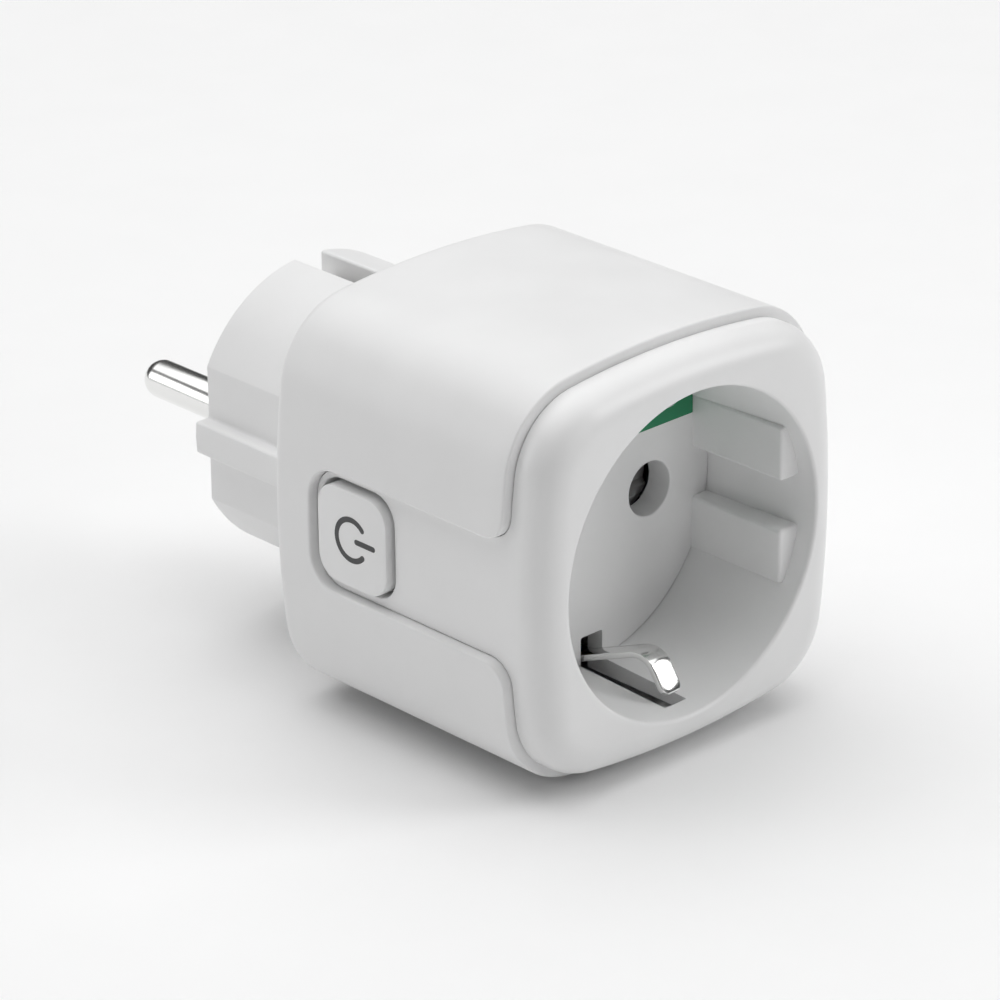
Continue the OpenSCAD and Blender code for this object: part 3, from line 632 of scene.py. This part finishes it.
def button_outline(grow):
    """The button's outline (y, z), a rounded rectangle, grown all round."""
    wide, tall = (CAP_HIGH - CAP_LOW)[1:] - 2 * CAP_FLANGE
    return round_rectangle(wide + 2 * grow, tall + 2 * grow, size("button_radius") + grow,
                           ((CAP_LOW[1] + CAP_HIGH[1]) / 2, 0), 14)


class PLUG_OT_front_cover(bpy.types.Operator):
    """Front cover: rounded bezel, tongue beside the button, recess wall and guide ribs"""

    bl_idname = "plug.front_cover"
    bl_label = "Build the front cover"

    def execute(self, context):
        """One closed skin. Its side follows the sleeve's boundary a seam away and is tucked under
        the sleeve. The face runs from the side to the rim along straight lines seen from the
        front, and at a distance d from the side it lies R - sqrt(R^2 - (R - d)^2) behind the
        front, until d reaches R. The left ribs start further back than the right ones."""
        arcs = casing()
        path = channel_line(arcs)
        step = SLEEVE_HIGH[0] - COVER_HIGH[0]
        top, radius, rim = COVER_LOW[1], size("cover_fillet"), size("rim_edge")
        mouth = size("recess_width") / 2
        s_front = np.where(path["on_front"], path["s"],
                           spread(path, (2.2, 7.2, 10.5), arcs["length"] / 2))
        seam, inside, side_end = -size("seam"), step + size("cover_wall"), top + radius
        tuck, lap, edge = 2.0, step + 0.8, 0.2
        rows = [away(arcs, path, tuck, inside, share, s_front, side_end)
                for share in np.linspace(1, 0, 12)]
        rows += [beside(arcs, path, tuck, lap), beside(arcs, path, seam, lap),
                 beside(arcs, path, seam, step + edge)]
        rows += [beside(arcs, path, seam - edge * (1 - np.cos(a)), step + edge * (1 - np.sin(a)))
                 for a in np.linspace(0, QUARTER, 5)[1:]]
        rows += [away(arcs, path, seam - edge, step, share, s_front, side_end)
                 for share in np.linspace(0, 1, 16)[1:]]
        last = rows[-1]
        circle_row = ring_row(mouth + rim, top, last)
        for a in np.linspace(0, QUARTER, 26)[1:]:
            row = last + (circle_row - last) * (1 - np.cos(a))
            d = np.clip(depth_inside(arcs, row[:, 0], row[:, 2]) - step, 0, radius)
            row[:, 1] = side_end - np.sqrt(radius ** 2 - (radius - d) ** 2)
            rows.append(row)
        rows += [ring_row(mouth + rim * (1 - np.sin(a)), top + rim * (1 - np.cos(a)), last)
                 for a in np.linspace(0, QUARTER, 8)[1:]]
        recess, deep = FLOOR_HIGH[0] + FLOOR_CLEARANCE, FLOOR_LOW[1]
        rows += between(rows[-1], ring_row(recess, deep, last), 8)
        rows += [ring_row(recess, deep + FACE_WALL, last),
                 ring_row(RECESS_OUTSIDE, deep + FACE_WALL, last),
                 ring_row(RECESS_OUTSIDE, top + FACE_WALL, last)]
        inner = both_halves(arcs, (s_front, top + FACE_WALL, inside))
        rows += between(rows[-1], inner, 3)
        cover = skin("cover_shell", [np.array(rows)], closed_rows=True)
        near, flat, tall = size("rib_gap") / 2, size("rib_flats") / 2, size("rib_width")
        thick, rib_corner, left_extra = 4.6, 0.5, 0.7
        start = top + size("rib_setback")
        ribs = [skin("rib", [prism(round_rectangle(thick, tall, rib_corner,
                                                   (sx * (flat + thick / 2),
                                                    sz * (near + tall / 2))),
                                   start + (left_extra if sx < 0 else 0), deep + 0.2,
                                   edges=(size("rib_edge"), 0))])
                for sx in SIDES for sz in SIDES]
        carve(cover, "UNION", ribs)
        slot_tall, slot_z = 11.6, 15.8
        cuts = [skin("slot", [prism(round_rectangle(size("slot_width"), slot_tall, 0.3,
                                                    (0, sz * slot_z)), start + 0.5, deep + 4)])
                for sz in SIDES]
        bow = arcs["bow"] - step
        gap = well(button_outline(size("button_gap")), -COVER_HIGH[0], 6.0, "x", 0.22)
        gap[..., 0] += bow - np.sqrt(bow ** 2 - gap[..., 2] ** 2)
        cuts.append(skin("gap", [gap]))
        carve(cover, "DIFFERENCE", cuts)
        finish_piece(cover, "housing", "cover_white", "front_cover")
        return {"FINISHED"}


class PLUG_OT_socket(bpy.types.Operator):
    """Socket floor with its pin holes and slots, and the coloured band across it"""

    bl_idname = "plug.socket"
    bl_label = "Build the socket floor"

    def execute(self, context):
        """The floor is a disc with a quarter-round rim. Each pin hole is a well whose rim is
        rounded outwards. The band is a plate cut off by the floor's circle."""
        low, high = FLOOR_LOW[1], FLOOR_LOW[1] + FACE_WALL
        hole, collar, collar_end, slot_tall, slot_z = size("hole_width") / 2, 1.3, 3.5, 8, 19.5
        floor = skin("recess_floor", [prism(circle(FLOOR_HIGH[0], steps=160), low, high,
                                            edges=(0.18, 0))])
        collars = [skin("collar", [prism(circle(hole + collar, (x, 0)), high - 0.4,
                                         low + collar_end)]) for x in PIN_X]
        carve(floor, "UNION", collars)
        cuts = [skin("hole", [well(circle(hole, (x, 0)), low, 6.0, "y", 0.2)]) for x in PIN_X]
        cuts += [skin("slot", [prism(round_rectangle(size("slot_width"), slot_tall, 0.3,
                                                     (0, sz * slot_z)), low - 1, high + 1)])
                 for sz in SIDES]
        carve(floor, "DIFFERENCE", cuts)
        finish_piece(floor, "housing", "cover_white", "socket_floor")
        wide, foot, head = BAND_HIGH[0], BAND_LOW[2], BAND_HIGH[2]
        radius, corner = FLOOR_HIGH[0] - FLOOR_CLEARANCE, 0.15
        arc = np.linspace(np.arccos(wide / radius), np.arcsin(head / radius), 10)
        right = np.stack([radius * np.cos(arc), radius * np.sin(arc), 0 * arc], 1)
        right[[0, -1], 2] = corner
        corners = np.concatenate([[[wide, foot, corner]], right, right[::-1] * [-1, 1, 1],
                                  [[-wide, foot, corner]]])
        band = skin("socket_band", [prism(round_outline(corners), BAND_LOW[1], BAND_HIGH[1],
                                          edges=(0.05, 0))])
        finish_piece(band, "housing", "label_green", "floor_label")
        return {"FINISHED"}


class PLUG_OT_button(bpy.types.Operator):
    """Button with its rounded face and its switch mark"""

    bl_idname = "plug.button"
    bl_label = "Build the button"

    def execute(self, context):
        """The button is its outline carried inwards, with a quarter round at its face, and a
        wider flange behind. The mark is a ring broken at the top and a bar through the break."""
        face, flange = CAP_LOW[0], CAP_HIGH[0] - CAP_FLANGE
        cap = skin("button_shell", [prism(button_outline(0), face, flange + 0.3, "x",
                                          (size("button_edge"), 0), 7)])
        rim = skin("rim", [prism(button_outline(CAP_FLANGE), flange, CAP_HIGH[0], "x",
                                 (0.1, 0.1), 3)])
        carve(cap, "UNION", [rim])
        finish_piece(cap, "button", "cover_white", "button_cap")
        middle = (CAP_LOW[1] + CAP_HIGH[1]) / 2 + 0.05
        ring, stroke, opening, bar_from, bar_to = 2.5, 0.34, 1.7, 3.66, 0.84
        proud, sunk = 0.02, 0.18
        break_angle = np.arcsin(opening / ring)
        turn = np.linspace(-QUARTER * 2 + break_angle, QUARTER * 2 - break_angle, 72)
        line = np.stack([middle + ring * np.cos(turn), ring * np.sin(turn)], 1)
        bar_y = np.linspace(middle - bar_from, middle - bar_to, 8)
        bar = np.stack([bar_y, 0 * bar_y], 1)
        mark = skin("power_mark", [prism(ribbon(part, stroke), face - proud, face + sunk, "x")
                                   for part in (line, bar)])
        finish_piece(mark, "button", "mark_grey", "button_mark")
        return {"FINISHED"}


def ribbon(line, half_width, steps=7):
    """Outline round a line at a half width, with round ends, and its outward directions."""
    along = heading(line)
    right = np.stack([along[:, 1], -along[:, 0]], 1)
    swing = np.linspace(0, np.pi, steps)[1:-1, None]
    far = right[-1] * np.cos(swing) + along[-1] * np.sin(swing)
    near = -right[0] * np.cos(swing) - along[0] * np.sin(swing)
    out = np.concatenate([right, far, -right[::-1], near])
    base = np.concatenate([line, np.repeat(line[-1:], len(swing), 0), line[::-1],
                           np.repeat(line[:1], len(swing), 0)])
    return base + half_width * out, out


def strip(line, corner, taper):
    """Rounded rectangle carried along a line in the YZ plane: its width lies along X and its
    thickness across the line. Within taper of an end the width shrinks as a quarter circle does,
    to a quarter of itself, and close to the end the thickness shrinks too."""
    along = heading(line)
    side = np.stack([-along[:, 1], along[:, 0]], 1)
    section, _ = round_rectangle(CLIP_WIDTH, CLIP_THICKNESS, corner, steps=4)
    run = run_along(line)
    left = np.minimum(run, run[-1] - run)
    share = np.clip(left / taper, 0, 1)
    wide = 1 - 0.75 * (1 - np.sqrt(1 - (1 - share) ** 2))
    thin = np.clip(left / (CLIP_THICKNESS / 4), 0, 1)
    thin = np.sqrt(1 - (1 - thin) ** 2) * 0.4 + 0.6
    x = section[None, :, 0] * wide[:, None]
    across = section[None, :, 1] * thin[:, None]
    y = line[:, 0, None] + side[:, 0, None] * across
    z = line[:, 1, None] + side[:, 1, None] * across
    return np.stack([x, y, z], -1)


def bent_line(points, bend, steps=8):
    """Line through points with its bends rounded, sampled evenly and more closely at its ends."""
    points = np.array(points, float)
    ahead = points[1:] - points[:-1]
    span = np.linalg.norm(ahead, axis=1)
    ahead /= span[:, None]
    t = np.linspace(0, 1, steps)[:, None]
    parts = [points[:1]]
    for a, b, corner in zip(ahead[:-1], ahead[1:], points[1:-1]):
        parts.append((1 - t) ** 2 * (corner - a * bend) + 2 * t * (1 - t) * corner
                     + t ** 2 * (corner + b * bend))
    parts.append(points[-1:])
    line = np.concatenate(parts)
    run = run_along(line)
    ends = np.array([0, 0.02, 0.06, 0.12, 0.2, 0.3, 0.45, 0.7, 1.0, 1.4])
    middle = np.arange(1.8, run[-1] - 1.8, 0.35)
    at = np.concatenate([ends, middle, run[-1] - ends[::-1]])
    return np.stack([np.interp(at, run, line[:, 0]), np.interp(at, run, line[:, 1])], 1)


class PLUG_OT_earth(bpy.types.Operator):
    """Earth clips in the socket and earth strips on the plug"""

    bl_idname = "plug.earth"
    bl_label = "Build the earth contacts"

    def execute(self, context):
        """A clip is a rounded section carried along a line that comes straight from the yoke,
        leans inwards and turns out again at its tip. A strip's line is straight."""
        leg = CLIP_HIGH[2] - CLIP_THICKNESS / 2
        straight, crest, turn, tip = FLOOR_LOW[1] - np.array([-1.4, 8.6, 10.7, 13.2])
        strip_z = (STRIP_LOW[2] + STRIP_HIGH[2]) / 2
        flat = bent_line([(STRIP_LOW[1], strip_z), (5, strip_z), (STRIP_HIGH[1], strip_z)], 0.5)
        for name, mirror, lean in (("top", [1, 1, 1], 3.0), ("bottom", [1, 1, -1], 4.1)):
            line = bent_line([(CLIP_HIGH[1], leg), (straight, leg), (crest, leg - lean),
                              (turn, leg - lean + 0.3), (tip, leg - 0.2)], 0.98)
            clip = skin("clip_" + name, [strip(line, 0.12, 1.1) * mirror])
            finish_piece(clip, "housing", "clip_nickel", "earth_clip_" + name)
            bar = skin("strip_" + name, [strip(flat, 0.22, 1.2) * mirror])
            # Painted shade: the strip's dark metal stands in for the shade in the groove.
            finish_piece(bar, "housing", "earth_dark", "plug_earth_" + name)
        return {"FINISHED"}


def casing_prism(inset, low, high):
    """The casing's outline at an inset, carried between two depths."""
    arcs = casing()
    s = np.linspace(0, arcs["length"], 160, endpoint=False)
    return np.array([on_casing(arcs, s, y, inset) for y in (low, high)])


class PLUG_OT_plug_body(bpy.types.Operator):
    """Plug body: round body with flats, side ribs and earth grooves, spigot and flange"""

    bl_idname = "plug.plug_body"
    bl_label = "Build the plug body"

    def execute(self, context):
        """A quarter of the outline is a rib, a flat, an arc and half a groove, with round
        corners; the rest is its mirror images. It is carried back with a quarter round at its
        end."""
        radius, flat = PLUG_RADIUS, size("flat_width") / 2
        groove, floor = size("groove_width") / 2, size("groove_floors") / 2
        rib = size("side_rib") / 2
        rib_corner, flat_corner, lip_corner, floor_corner = 0.35, 0.6, 0.35, 0.25
        arc = np.linspace(np.arccos(flat / radius), np.arccos(groove / radius), 34)[1:-1]
        quarter_line = np.concatenate([
            [[radius, 0, 0], [np.sqrt(radius ** 2 - rib ** 2), rib, rib_corner],
             [flat, rib, rib_corner], [flat, np.sqrt(radius ** 2 - flat ** 2), flat_corner]],
            np.stack([radius * np.cos(arc), radius * np.sin(arc), 0 * arc], 1),
            [[groove, np.sqrt(radius ** 2 - groove ** 2), lip_corner],
             [groove, floor, floor_corner]]])
        left = quarter_line[::-1] * [-1, 1, 1]
        line = np.concatenate([quarter_line, left[:-1], quarter_line * [-1, -1, 1],
                               left[:-1] * [-1, -1, 1]])
        body = skin("plug_shell", [prism(round_outline(line), 0.02, BODY_HIGH[1],
                                         edges=(0, size("plug_edge")), steps=8)])
        flange = casing_prism(SLEEVE_HIGH[0] - BODY_HIGH[0], BODY_LOW[1], FLANGE_END)
        spigot = skin("spigot", [prism(circle(SPIGOT_RADIUS, steps=160), -3.2, 0.4)])
        carve(body, "UNION", [skin("flange", [flange]), spigot])
        cavity = skin("cavity", [prism(circle(CAVITY_RADIUS), BODY_LOW[1] - 1, CAVITY_END)])
        strip_z, bore_from, bore_to = 17.5, 18.0, 24.0
        grooves = [skin("groove", [prism(round_rectangle(3.3, 3.0, 0.1, (0, sz * strip_z)),
                                         BODY_LOW[1] - 1, 1.0)]) for sz in SIDES]
        bores = [skin("bore", [prism(circle(SHANK_RADIUS, (x, 0), 48), bore_from, bore_to)])
                 for x in PIN_X]
        carve(body, "DIFFERENCE", [cavity, *grooves, *bores])
        finish_piece(body, "housing", "shell_white", "plug_body")
        return {"FINISHED"}


class PLUG_OT_pins(bpy.types.Operator):
    """Two pins with round tips and the thinner shanks that the plug body holds"""

    bl_idname = "plug.pins"
    bl_label = "Build the pins"

    def execute(self, context):
        """Half of the pin's outline, turned about its axis: shank, shoulder, side and a quarter
        circle at the tip."""
        start = BODY_HIGH[1] + 0.01
        tip_r, tip_y = quarter(PIN_RADIUS, PIN_HIGH[1], PIN_RADIUS, steps=16)
        foot_r, foot_y = quarter(SHANK_RADIUS, PIN_LOW[1], 0.2, False, 4)
        step_r, step_y = quarter(PIN_RADIUS, start, 0.15, False, 5)
        radii = np.concatenate([[0], foot_r[::-1], [SHANK_RADIUS], step_r[::-1], tip_r])
        heights = np.concatenate([[PIN_LOW[1]], foot_y[::-1], [start], step_y[::-1], tip_y])
        for name, x in zip(("line", "neutral"), PIN_X):
            pin = skin(name + "_prong", [lathe(radii, heights, (x, 0), 64)])
            finish_piece(pin, "housing", "pin_nickel", name + "_pin")
        return {"FINISHED"}


class PLUG_OT_screws(bpy.types.Operator):
    """Case screws with round-edged heads and cross recesses"""

    bl_idname = "plug.screws"
    bl_label = "Build the screws"

    def execute(self, context):
        """Half of a screw's outline turned about its axis, with a ridge at every turn of the
        thread, and a cross of four arms cut into its head."""
        head_r, head_y = quarter(HEAD_RADIUS, SCREW_HIGH[1], 0.35, steps=6)
        crest, root, half_arm, arm_end = 1.3, 1.05, 0.3, 1.3
        turns = np.linspace(SCREW_LOW[1], HEAD_SEAT - 0.1, 57)
        ridge = np.where(np.arange(turns.size) % 4 < 2, crest, root)
        radii = np.concatenate([[0], ridge, [HEAD_RADIUS], head_r, [0]])
        heights = np.concatenate([[SCREW_LOW[1]], turns, [HEAD_SEAT], head_y, [SCREW_HIGH[1]]])
        screws = skin("screws", [lathe(radii, heights, place, 40) for place in SCREW_PLACES])
        arm = np.array([(half_arm, arm_end), (-half_arm, arm_end), (-half_arm, half_arm)])
        turned = [(arm[:, 0], arm[:, 1]), (-arm[:, 1], arm[:, 0]),
                  (-arm[:, 0], -arm[:, 1]), (arm[:, 1], -arm[:, 0])]
        cross = np.concatenate([np.stack(corners, -1) for corners in turned])
        cuts = [skin("cross", [prism((cross + place, 0 * cross), -0.9, 0.5)])
                for place in SCREW_PLACES]
        carve(screws, "DIFFERENCE", cuts)
        finish_piece(screws, "housing", "zinc_steel", "case_screws")
        return {"FINISHED"}


INNER = {
    # Painted shade: the shutter's dark grey stands in for the shade behind the pin holes.
    "shutter_grey": ("shutter",),
    "spring_steel": ("shutter_spring", "relay_core", "relay_yoke", "relay_armature"),
    "inner_black": ("contact_block", "tact_switch", "tact_plunger", "board_header", "relay_base"),
    "contact_brass": ("line_contact", "neutral_contact", "line_busbar", "neutral_busbar",
                      "relay_moving_contact", "relay_fixed_contact"),
    "clip_nickel": ("earth_yoke",),
    "zinc_steel": ("radio_shield", "current_shunt"),
    "board_green": ("main_board", "control_board"),
    "relay_blue": ("relay_case",),
    "coil_copper": ("relay_coil",),
    "can_black": ("input_capacitor", "output_capacitor"),
    "film_yellow": ("film_capacitor",),
    "varistor_blue": ("varistor",),
    "resistor_tan": ("fuse_resistor",),
    "ferrite": ("inductor",),
    "chip_black": ("bridge_rectifier", "supply_chip", "metering_chip"),
    "led_clear": ("status_led",),
}


class PLUG_OT_inside(bpy.types.Operator):
    """Gives the parts inside the casing their finishes; their CAD meshes stay as they are"""

    bl_idname = "plug.inside"
    bl_label = "Finish the inner parts"

    def execute(self, context):
        for slot, nodes in INNER.items():
            for node in nodes:
                coat(bpy.data.objects[node], slot)
        return {"FINISHED"}


def soft_light(name, place, aim, width, height, power):
    """Area light at a place, turned towards a point."""
    lamp = bpy.data.lights.new(name, "AREA")
    lamp.shape, lamp.size, lamp.size_y = "RECTANGLE", width, height
    lamp.energy = power
    light = bpy.data.objects.new(name, lamp)
    light.location = place
    light.rotation_mode = "QUATERNION"
    light.rotation_quaternion = (Vector(aim) - Vector(place)).to_track_quat("-Z", "Y")
    bpy.context.scene.collection.objects.link(light)


def studio_world():
    """World that is seen as white and lights the object only faintly."""
    world = bpy.data.worlds.new("studio")
    world.use_nodes = True
    tree = world.node_tree
    tree.nodes["Background"].inputs["Strength"].default_value = WORLD_STRENGTH
    tree.nodes["Background"].inputs["Color"].default_value = (1, 1, 1, 1)
    seen = tree.nodes.new("ShaderNodeBackground")
    path = tree.nodes.new("ShaderNodeLightPath")
    pick = tree.nodes.new("ShaderNodeMixShader")
    tree.links.new(path.outputs["Is Camera Ray"], pick.inputs[0])
    tree.links.new(tree.nodes["Background"].outputs[0], pick.inputs[1])
    tree.links.new(seen.outputs[0], pick.inputs[2])
    tree.links.new(pick.outputs[0], tree.nodes["World Output"].inputs["Surface"])
    seen.inputs["Color"].default_value = (WORLD_WHITE, WORLD_WHITE, WORLD_WHITE, 1)
    return world


class PLUG_OT_stage(bpy.types.Operator):
    """Pale floor, soft studio light and the camera"""

    bl_idname = "plug.stage"
    bl_label = "Set the stage"

    def execute(self, context):
        """The camera's axes are the view direction, its cross product with up and theirs, the
        last two turned by the roll."""
        scene = context.scene
        low = SLEEVE_LOW[2] * MM - FLOOR_DROP
        mesh = bpy.data.meshes.new("floor")
        corners = [(-FLOOR_REACH, -FLOOR_REACH, low), (FLOOR_REACH, -FLOOR_REACH, low),
                   (FLOOR_REACH, FLOOR_REACH, low), (-FLOOR_REACH, FLOOR_REACH, low)]
        mesh.from_pydata(corners, [], [(0, 1, 2, 3)])
        ground = bpy.data.objects.new("floor", mesh)
        scene.collection.objects.link(ground)
        mesh.materials.append(plastic("floor_paper", (0.93, 0.93, 0.93), 0.8, 0.0, 0.004))
        scene.world = studio_world()
        scene.view_settings.view_transform = "Standard"
        for light in LIGHTS:
            soft_light(*light)
        position, aim = Vector(CAMERA_PLACE) * MM, Vector(CAMERA_AIM) * MM
        ahead = (aim - position).normalized()
        right = ahead.cross(Vector((0, 0, 1))).normalized()
        up = right.cross(ahead)
        turned = right * np.cos(CAMERA_ROLL) + up * np.sin(CAMERA_ROLL)
        raised = up * np.cos(CAMERA_ROLL) - right * np.sin(CAMERA_ROLL)
        lens = bpy.data.cameras.new("camera")
        lens.sensor_width, lens.lens = SENSOR_WIDTH, FOCAL_LENGTH
        lens.clip_start, lens.clip_end = 0.01, 20.0
        camera = bpy.data.objects.new("camera", lens)
        camera.matrix_world = Matrix((turned, raised, -ahead)).transposed().to_4x4()
        camera.location = position
        scene.collection.objects.link(camera)
        scene.camera = camera
        return {"FINISHED"}


class PLUG_PT_sidebar(bpy.types.Panel):
    """Buttons that build the plug piece by piece"""

    bl_idname = "PLUG_PT_sidebar"
    bl_label = "Smart plug"
    bl_space_type = "VIEW_3D"
    bl_region_type = "UI"
    bl_category = "Smart plug"

    def draw(self, context):
        for step in STEPS:
            self.layout.operator("plug." + step)
        for group in (context.scene.plug_sizes, context.scene.plug_colours):
            for name in group.__annotations__:
                self.layout.prop(group, name)


STEPS = ("finishes", "sleeve", "front_cover", "socket", "button", "earth", "plug_body", "pins",
         "screws", "inside", "stage")
CLASSES = (PlugSizes, PlugColours, PLUG_OT_finishes, PLUG_OT_sleeve, PLUG_OT_front_cover,
           PLUG_OT_socket, PLUG_OT_button, PLUG_OT_earth, PLUG_OT_plug_body, PLUG_OT_pins,
           PLUG_OT_screws, PLUG_OT_inside, PLUG_OT_stage, PLUG_PT_sidebar)


def register():
    """Registers the classes and gives scenes the sizes and colours."""
    for kind in CLASSES:
        bpy.utils.register_class(kind)
    bpy.types.Scene.plug_sizes = PointerProperty(type=PlugSizes)
    bpy.types.Scene.plug_colours = PointerProperty(type=PlugColours)


def unregister():
    """Takes both away again."""
    del bpy.types.Scene.plug_colours
    del bpy.types.Scene.plug_sizes
    for kind in reversed(CLASSES):
        bpy.utils.unregister_class(kind)


def main():
    """Builds every piece in order."""
    register()
    for step in STEPS:
        getattr(bpy.ops.plug, step)()


if __name__ == "__main__":
    main()
